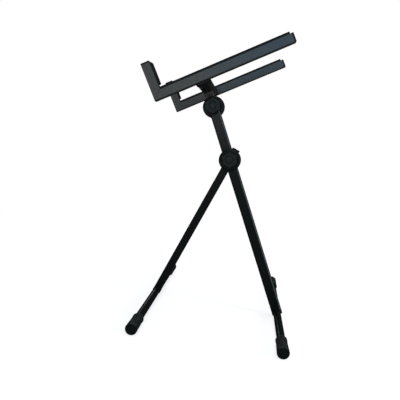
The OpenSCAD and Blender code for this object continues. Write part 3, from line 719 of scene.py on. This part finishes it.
def lobed_knob(radius, height, lobes, collar_radius, collar, pocket_radius, pocket):
    """Lobed knob along local Z from its seat, hollow where its insert or screw sits."""
    lobe = radius / 3.5
    body_radius = radius - 0.4 * lobe
    steps = lobes * 24

    def outline(a):
        """Radius of the knob's outline at an angle."""
        pitch = TURN / lobes
        off = (a - 0.25 * pitch + pitch / 2) % pitch - pitch / 2
        reach = radius - lobe
        inside = lobe ** 2 - (reach * math.sin(off)) ** 2
        bump = reach * math.cos(off) + math.sqrt(inside) if inside > 0 else 0
        return max(bump, body_radius)

    def lobed(inset, z):
        """Ring of the lobed outline, drawn in by an inset."""
        share = 1 - inset / radius
        return [Vector((outline(a) * share * math.cos(a), outline(a) * share * math.sin(a), z))
                for a in (TURN * k / steps for k in range(steps))]

    soft = min(0.004, height / 5)
    rings = [round_ring(0, pocket, steps), round_ring(pocket_radius, pocket, steps),
             round_ring(pocket_radius, 0.0004, steps), round_ring(pocket_radius + 0.0004, 0, steps),
             round_ring(collar_radius - 0.0006, 0, steps), round_ring(collar_radius, 0.0006, steps),
             round_ring(collar_radius, collar - 0.0005, steps),
             round_ring(collar_radius + 0.0008, collar, steps)]
    under = body_radius - 0.002
    if under > collar_radius + 0.002:
        rings.append(round_ring(under, collar + 0.0001, steps))
    for a in quarter_turn(6):
        rings.append(lobed(soft * 0.5 * (1 - math.sin(a)), collar + soft * 0.5 * (1 - math.cos(a)) + 0.0001))
    for a in quarter_turn(8):
        rings.append(lobed(soft * (1 - math.cos(a)), height - soft * (1 - math.sin(a))))
    dish = radius * 0.62
    for share, z in ((1.04, 0.0), (1.0, -0.0006), (0.97, -0.0014), (0.80, -0.0017), (0.78, -0.0012),
                     (0.72, -0.0008), (0.4, -0.0004)):
        rings.append(round_ring(dish * share, height + z, steps))
    rings.append(round_ring(0, height - 0.0003, steps))
    return skinned(rings)


class STAND_OT_hub_knobs(bpy.types.Operator):
    """Builds the two lobed knobs that tighten the hubs"""
    bl_idname = "stand.hub_knobs"
    bl_label = "Build the hub knobs"

    def execute(self, context):
        knobs = context.scene.stand_knobs
        for hub, at in (("upper", UPPER_HUB), ("lower", LOWER_HUB)):
            node = f"{hub}_knob"
            seat_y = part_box(node)[1].y
            made = lobed_knob(knobs.hub_radius, knobs.hub_height, knobs.hub_lobes, collar_radius=0.015,
                              collar=0.006, pocket_radius=0.00805, pocket=0.01805)
            place = seat(Vector((at.x, seat_y, at.z)), -ACROSS, MAIN_UP)
            piece(f"{hub}_hub_knob", made, node, "knob_plastic", place, (node,))
        return {"FINISHED"}


class STAND_OT_lock_knobs(bpy.types.Operator):
    """Builds the two small knobs that lock the arms' width"""
    bl_idname = "stand.lock_knobs"
    bl_label = "Build the lock knobs"

    def execute(self, context):
        knobs = context.scene.stand_knobs
        for side in SIDES:
            node = f"{side}_lock_knob"
            seat_at = joint_at(f"{side}_lock_turn") - ARM_UP * knobs.lock_seat
            made = lobed_knob(knobs.lock_radius, knobs.lock_height, knobs.lock_lobes, collar_radius=0.009,
                              collar=0.003, pocket_radius=0.00405, pocket=0.00985)
            piece(f"{side}_width_knob", made, f"{side}_lock", "lock_plastic", seat(seat_at, -ARM_UP, -ACROSS),
                  (node,))
        return {"FINISHED"}


def pad_strip(size, thick, width):
    """Rubber strip along local Z, its back on local x = 0 and its grooved face on x = thick."""
    edge, groove, at = 0.0015, 0.001, 0.3 * width
    half = width / 2
    outline = [(0.0, -half + edge * 0.3), (edge * 0.3, -half)]
    for a in quarter_turn(5):
        outline.append((thick - edge + edge * math.sin(a), -half + edge - edge * math.cos(a)))
    for middle_y in (-at, at):
        for k in range(9):
            a = math.pi * k / 8
            outline.append((thick - groove * math.sin(a), middle_y - groove * math.cos(a)))
    for a in quarter_turn(5):
        outline.append((thick - edge + edge * math.cos(a), half - edge + edge * math.sin(a)))
    outline += [(edge * 0.3, half), (0.0, half - edge * 0.3)]

    def section(z, inset):
        """The strip's outline at one height, drawn in near its ends."""
        return [Vector((x * (1 - inset / thick) if x > 0 else x, y * (1 - inset / half), z))
                for x, y in outline]

    ends = [(0.0, 0.0012), (0.0004, 0.0005), (0.0012, 0.0)]
    rings = [section(z, inset) for z, inset in ends]
    count = max(2, int(size / 0.02))
    rings += [section(ends[-1][0] + (size - 2 * ends[-1][0]) * k / count, 0) for k in range(1, count)]
    rings += [section(size - z, inset) for z, inset in reversed(ends)]
    return skinned(rings, capped=True)


class STAND_OT_pads(bpy.types.Operator):
    """Builds the rubber pads on the rails and the lips"""
    bl_idname = "stand.pads"
    bl_label = "Build the pads"

    def execute(self, context):
        tubes = context.scene.stand_tubes
        gap, stop = 0.0002, 0.005   # from the lip's face, and bare tube before an end cap
        rail_low, lip_low = tubes.arm + gap, tubes.arm + tubes.pad + tubes.lip_bare
        corner = arm_corner(tubes)
        for side in SIDES:
            start = Vector((corner.x, middle(f"{side}_rail").y, corner.z))
            rail_size = tubes.rail - tubes.cap - rail_low - stop
            place = seat(start + ARM_ALONG * rail_low + ARM_UP * tubes.arm, ARM_ALONG)
            place = place @ Matrix.Rotation(math.pi, 4, "Z")
            piece(f"{side}_rail_strip", pad_strip(rail_size, tubes.pad, tubes.pad_width), f"{side}_arm",
                  "pad_rubber", place, (f"{side}_rail_pad",))
            lip_size = tubes.lip - tubes.cap - lip_low - stop / 2
            place = seat(start + ARM_ALONG * tubes.arm + ARM_UP * lip_low, ARM_UP)
            piece(f"{side}_lip_strip", pad_strip(lip_size, tubes.pad, tubes.pad_width), f"{side}_arm",
                  "pad_rubber", place, (f"{side}_lip_pad",))
        return {"FINISHED"}


def tube_plug(width, depth, corner, wall, head, reach):
    """Moulded plug: a softly domed head along local Z from the tube's end, and a hollow spigot inside it."""
    fit, skin_t = 0.00015, 0.002
    in_w, in_d = width - 2 * wall - 2 * fit, depth - 2 * wall - 2 * fit
    in_r = max(corner - wall, 0.0004)
    rings = [box_ring(in_w - 2 * skin_t, in_d - 2 * skin_t, 0.0005, z) for z in (-0.001, -reach)]
    for less, z in ((0.0008, -reach), (0.0, -reach + 0.0012), (0.0, -0.00005)):
        rings.append(box_ring(in_w - less, in_d - less, in_r, z))
    for less, z in ((0.0006, 0.0), (0.0001, 0.0003)):
        rings.append(box_ring(width - less, depth - less, corner, z))
    soft = min(0.0016, head * 0.5)
    for a in quarter_turn(5):
        inset = soft * (1 - math.cos(a))
        rings.append(box_ring(width - 2 * inset, depth - 2 * inset, corner - inset * 0.5,
                              head * 0.93 - soft + soft * math.sin(a)))
    for share, lift in ((0.80, 0.965), (0.55, 0.985), (0.25, 1.0)):
        rings.append(box_ring(width * share, depth * share, corner * share, head * lift))
    return skinned(rings, capped=True)


class STAND_OT_plugs(bpy.types.Operator):
    """Builds the moulded plugs that close the tubes"""
    bl_idname = "stand.plugs"
    bl_label = "Build the plugs and end caps"

    def execute(self, context):
        t = context.scene.stand_tubes
        head, short, medium, long = 0.003, 0.010, 0.012, 0.016   # a plug's head, and its spigot's reach
        for name, at, along, key, reach, body, tube, node in (
                ("main_tube_top_plug", UPPER_HUB + MAIN_UP * t.main_end, MAIN_UP, "main", short,
                 "rear_frame", "main_tube", "main_tube_plug"),
                ("front_leg_top_plug", LOWER_HUB + LEG_UP * t.leg_end, LEG_UP, "leg", medium,
                 "front_leg", "front_leg_tube", "front_leg_plug"),
                ("neck_bottom_plug", UPPER_HUB - ARM_UP * t.neck_end, -ARM_UP, "neck", short,
                 "head", "neck_tube", "neck_plug")):
            sizes = (getattr(t, f"{key}_{size}") for size in ("width", "depth", "corner", "wall"))
            place = seat(Vector((at.x, middle(tube).y, at.z)), along)
            piece(name, tube_plug(*sizes, head, reach), body, "plug_plastic", place, (node,))
        corner = arm_corner(t)
        for side, sign in SIDES.items():
            y = middle(f"{side}_rail").y
            start = Vector((corner.x, y, corner.z))
            tip = start + ARM_ALONG * (t.rail - t.cap) + ARM_UP * t.arm / 2
            piece(f"{side}_rail_end", tube_plug(t.arm, t.arm, t.arm_corner, t.arm_wall, t.cap, long),
                  f"{side}_arm", "plug_plastic", seat(tip, ARM_ALONG), (f"{side}_rail_cap",))
            top = start + ARM_UP * (t.lip - t.cap) + ARM_ALONG * t.arm / 2
            piece(f"{side}_lip_end", tube_plug(t.arm, t.arm, t.arm_corner, t.arm_wall, t.cap, long),
                  f"{side}_arm", "plug_plastic", seat(top, ARM_UP), (f"{side}_lip_cap",))
            low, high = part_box(f"{side}_slide_tube")
            inner = middle(f"{side}_slide_tube")
            inner.y = low.y if sign == LEFT else high.y
            place = seat(inner, -ACROSS * sign, ARM_UP)
            piece(f"{side}_slide_end", tube_plug(t.slide, t.arm, t.arm_corner, t.arm_wall, head, medium),
                  f"{side}_arm", "plug_plastic", place, (f"{side}_slide_plug",))
        return {"FINISHED"}


def sleeve_collar(t):
    """Moulded collar along local Z, its skirt round the sleeve's end and its rim round the slide tube."""
    fit, gap, soft, mouth = 0.0001, 0.0003, 0.0009, 0.0012
    out_w, out_h = t.sleeve_width + 2 * t.collar_skirt, t.sleeve_height + 2 * t.collar_skirt
    out_r, top = t.sleeve_corner + t.collar_skirt, t.collar_grip + t.collar_rim
    bore_w, bore_h, bore_r = t.slide + 2 * gap, t.arm + 2 * gap, 0.0011
    rings = [box_ring(t.sleeve_width + fit, t.sleeve_height + fit, t.sleeve_corner, t.collar_grip),
             box_ring(t.sleeve_width + fit, t.sleeve_height + fit, t.sleeve_corner, 0.0)]
    for inset, z in ((0.0011, 0.0), (0.0003, 0.0003), (0.0, 0.0009), (0.0, t.collar_grip - 0.0013),
                     (0.0004, t.collar_grip - 0.0011), (0.0004, t.collar_grip - 0.0004),
                     (0.0, t.collar_grip - 0.0002)):
        rings.append(box_ring(out_w - 2 * inset, out_h - 2 * inset, out_r - inset, z))
    for a in quarter_turn(4):
        inset = soft * (1 - math.cos(a))
        z = top - soft + soft * math.sin(a)
        rings.append(box_ring(out_w - 2 * inset, out_h - 2 * inset, out_r - inset, z))
    # The chamfered mouth takes in the weld bead of an arm pushed fully home
    rings.append(box_ring(bore_w + 2 * mouth, bore_h + 2 * mouth, bore_r + mouth, top))
    rings.append(box_ring(bore_w, bore_h, bore_r, top - mouth))
    rings.append(box_ring(bore_w, bore_h, bore_r, t.collar_grip))
    return skinned(rings, looped=True)


class STAND_OT_collars(bpy.types.Operator):
    """Builds the two moulded collars on the sleeve's ends"""
    bl_idname = "stand.collars"
    bl_label = "Build the sleeve collars"

    def execute(self, context):
        t = context.scene.stand_tubes
        centre = UPPER_HUB + ARM_UP * (t.hub_drop + t.arm / 2) + ARM_ALONG * t.sleeve_ahead
        for side, sign in SIDES.items():
            low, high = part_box(f"{side}_sleeve_collar")
            start = Vector((centre.x, low.y if sign == LEFT else high.y, centre.z))
            place = seat(start, ACROSS * sign, ARM_UP)
            piece(f"{side}_collar", sleeve_collar(t), "head", "plug_plastic", place,
                  (f"{side}_sleeve_collar",))
        return {"FINISHED"}


class STAND_OT_welds(bpy.types.Operator):
    """Lays the weld beads between the tubes"""
    bl_idname = "stand.welds"
    bl_label = "Lay the welds"

    def execute(self, context):
        t = context.scene.stand_tubes
        fine, small, large = 0.0007, 0.0011, 0.0018
        neck_y = middle("neck_tube").y
        sleeve_z = t.hub_drop + t.arm / 2
        ring = box_ring(t.neck_width, t.neck_depth, t.neck_corner, sleeve_z - t.sleeve_height / 2)
        place = seat(Vector((UPPER_HUB.x, neck_y, UPPER_HUB.z)), ARM_UP)
        piece("neck_weld", bead([place @ p for p in ring], large, closed=True), "head", "weld_coat")
        sleeve_at = UPPER_HUB + ARM_UP * sleeve_z + ARM_ALONG * t.sleeve_ahead
        for side, sign in SIDES.items():
            low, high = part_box(f"{side}_rail")
            face_y = low.y if sign == LEFT else high.y
            ring = box_ring(t.slide, t.arm, t.arm_corner, 0)
            place = seat(Vector((sleeve_at.x, face_y, sleeve_at.z)), ACROSS, ARM_UP)
            piece(f"{side}_slide_weld", bead([place @ p for p in ring], small, closed=True),
                  f"{side}_arm", "arm_coat")
            corner = arm_corner(t)
            for tag, y in (("inner", low.y), ("outer", high.y)):
                start = Vector((corner.x, y, corner.z))
                path = [start + (ARM_ALONG + ARM_UP) * t.arm * s for s in (0.06, 0.5, 0.97)]
                piece(f"{side}_mitre_weld_{tag}", bead(path, fine, pitch=0.0025), f"{side}_arm", "arm_coat")
            place = seat(joint_at(f"{side}_lock_turn"), -ARM_UP)
            ring = round_ring(radius=0.0070, height=0.0003, steps=24)
            made = bead([place @ p for p in ring], small, closed=True)
            piece(f"{side}_nut_weld", made, "head", "weld_coat")
        for name, bar, up, y_node, half, body, reach, radius in (
                ("rear", REAR_BAR, MAIN_UP, "main_tube", t.main_depth / 2, "rear_frame", 132, 0.0026),
                ("front", FRONT_BAR, LEG_UP, "front_leg_tube", t.leg_depth / 2, "front_leg", 112, 0.0024)):
            y = middle(y_node).y
            along = ACROSS.cross(up)
            for tag, face in (("right", y - half), ("left", y + half)):
                path = []
                for k in range(37):
                    a = math.radians(reach) * (k / 18 - 1)
                    out = up * math.cos(a) + along * math.sin(a)
                    path.append(Vector((bar.x, face, bar.z)) + out * t.bar_radius)
                piece(f"{name}_bar_weld_{tag}", bead(path, radius), body, "weld_coat")
        return {"FINISHED"}


class STAND_OT_stage(bpy.types.Operator):
    """Sets the floor, the light and the camera"""
    bl_idname = "stand.stage"
    bl_label = "Set the stage"

    def execute(self, context):
        scene, stage = context.scene, context.scene.stand_stage
        made = skinned([round_ring(0, 0, 96)] + [round_ring(r, 0, 96) for r in (0.5, 1.0, 2.0, 4.0, 8.0)])
        mesh = bpy.data.meshes.new("studio_floor")
        made.to_mesh(mesh)
        made.free()
        mesh.materials.append(studio_floor("studio floor", scene.stand_colours.floor))
        floor = bpy.data.objects.new("studio_floor", mesh)
        scene.collection.objects.link(floor)

        world = bpy.data.worlds.new("studio")
        world.use_nodes = True
        sky = NodeBench(world.node_tree)
        level = stage.ambient + background_rays(sky) * (1.0 - stage.ambient)
        sky.tree.links.new(level.socket, sky.tree.nodes["Background"].inputs["Strength"])
        sky.tree.nodes["Background"].inputs["Color"].default_value = (1, 1, 1, 1)
        scene.world = world

        for name, place, target, size, power, tint in (
                ("warm_panel", (-0.75, -2.9, 1.50), (-0.75, 0, 1.2), (0.9, 0.7), stage.warm, (1, 0.94, 0.82)),
                ("low_panel", (-0.50, -2.9, 0.85), (-0.5, 0, 0.8), (0.8, 0.4), stage.low, (1, 0.98, 0.90)),
                ("cool_panel", (0.30, -2.9, 1.50), (0.3, 0, 1.2), (1.3, 0.7), stage.cool, (0.28, 0.62, 1)),
                ("top_lamp", (0.2, 0.3, 3.4), (0, 0, 0), (2.4, 2.4), stage.top, (1, 1, 1)),
                ("side_strip", (2.3, -0.6, 0.8), (0, 0, 0.5), (0.5, 1.3), stage.side, (0.90, 0.96, 1)),
                ("back_strip", (-0.75, 2.3, 0.8), (-0.1, 0, 0.05), (0.6, 0.35), stage.back, (0.85, 0.94, 1))):
            lamp = bpy.data.lights.new(name, "AREA")
            lamp.shape = "RECTANGLE"
            lamp.size, lamp.size_y = size
            lamp.energy = power
            lamp.color = tint
            thing = bpy.data.objects.new(name, lamp)
            thing.location = place
            thing.rotation_euler = (Vector(target) - Vector(place)).to_track_quat("-Z", "Y").to_euler()
            thing.visible_camera = False
            scene.collection.objects.link(thing)

        camera = bpy.data.cameras.new("camera")
        camera.lens = stage.lens
        camera.sensor_width = 36.0
        camera.clip_start, camera.clip_end = 0.05, 50.0
        thing = bpy.data.objects.new("camera", camera)
        turn = Matrix.Rotation(stage.yaw, 4, "Z") @ Matrix.Rotation(stage.pitch, 4, "X")
        turn = turn @ Matrix.Rotation(stage.roll, 4, "Y") @ Matrix.Rotation(math.pi / 2, 4, "X")
        thing.matrix_world = Matrix.Translation(Vector(stage.place)) @ turn
        scene.collection.objects.link(thing)
        scene.camera = thing
        scene.view_settings.view_transform = "Standard"
        return {"FINISHED"}


GROUPS = {"stand_tubes": StandTubes, "stand_knobs": StandKnobs, "stand_feet": StandFeet,
          "stand_colours": StandColours, "stand_stage": StandStage}
OPERATORS = (STAND_OT_tubes, STAND_OT_fasteners, STAND_OT_hubs, STAND_OT_feet, STAND_OT_hub_knobs,
             STAND_OT_lock_knobs, STAND_OT_pads, STAND_OT_plugs, STAND_OT_collars, STAND_OT_welds,
             STAND_OT_stage)


class STAND_PT_looks(bpy.types.Panel):
    """Lists the stand's pieces and their sizes"""
    bl_idname = "STAND_PT_looks"
    bl_label = "Folding stand"
    bl_space_type = "VIEW_3D"
    bl_region_type = "UI"
    bl_category = "Stand"

    def draw(self, context):
        for operator in OPERATORS:
            self.layout.operator(operator.bl_idname)
        for name in GROUPS:
            group = getattr(context.scene, name)
            box = self.layout.box()
            box.label(text=name.replace("_", " ").capitalize())
            for key in group.bl_rna.properties.keys():
                if key not in ("rna_type", "name"):
                    box.prop(group, key)


def register():
    """Adds the sizes and colours, the operators and the panel."""
    for group in GROUPS.values():
        bpy.utils.register_class(group)
    for name, group in GROUPS.items():
        setattr(bpy.types.Scene, name, PointerProperty(type=group))
    for operator in OPERATORS:
        bpy.utils.register_class(operator)
    bpy.utils.register_class(STAND_PT_looks)


def unregister():
    """Takes away what register added."""
    bpy.utils.unregister_class(STAND_PT_looks)
    for operator in reversed(OPERATORS):
        bpy.utils.unregister_class(operator)
    for name, group in reversed(GROUPS.items()):
        delattr(bpy.types.Scene, name)
        bpy.utils.unregister_class(group)


def main():
    """Builds the whole scene."""
    register()
    for operator in OPERATORS:
        group, name = operator.bl_idname.split(".")
        getattr(getattr(bpy.ops, group), name)()


if __name__ == "__main__":
    main()
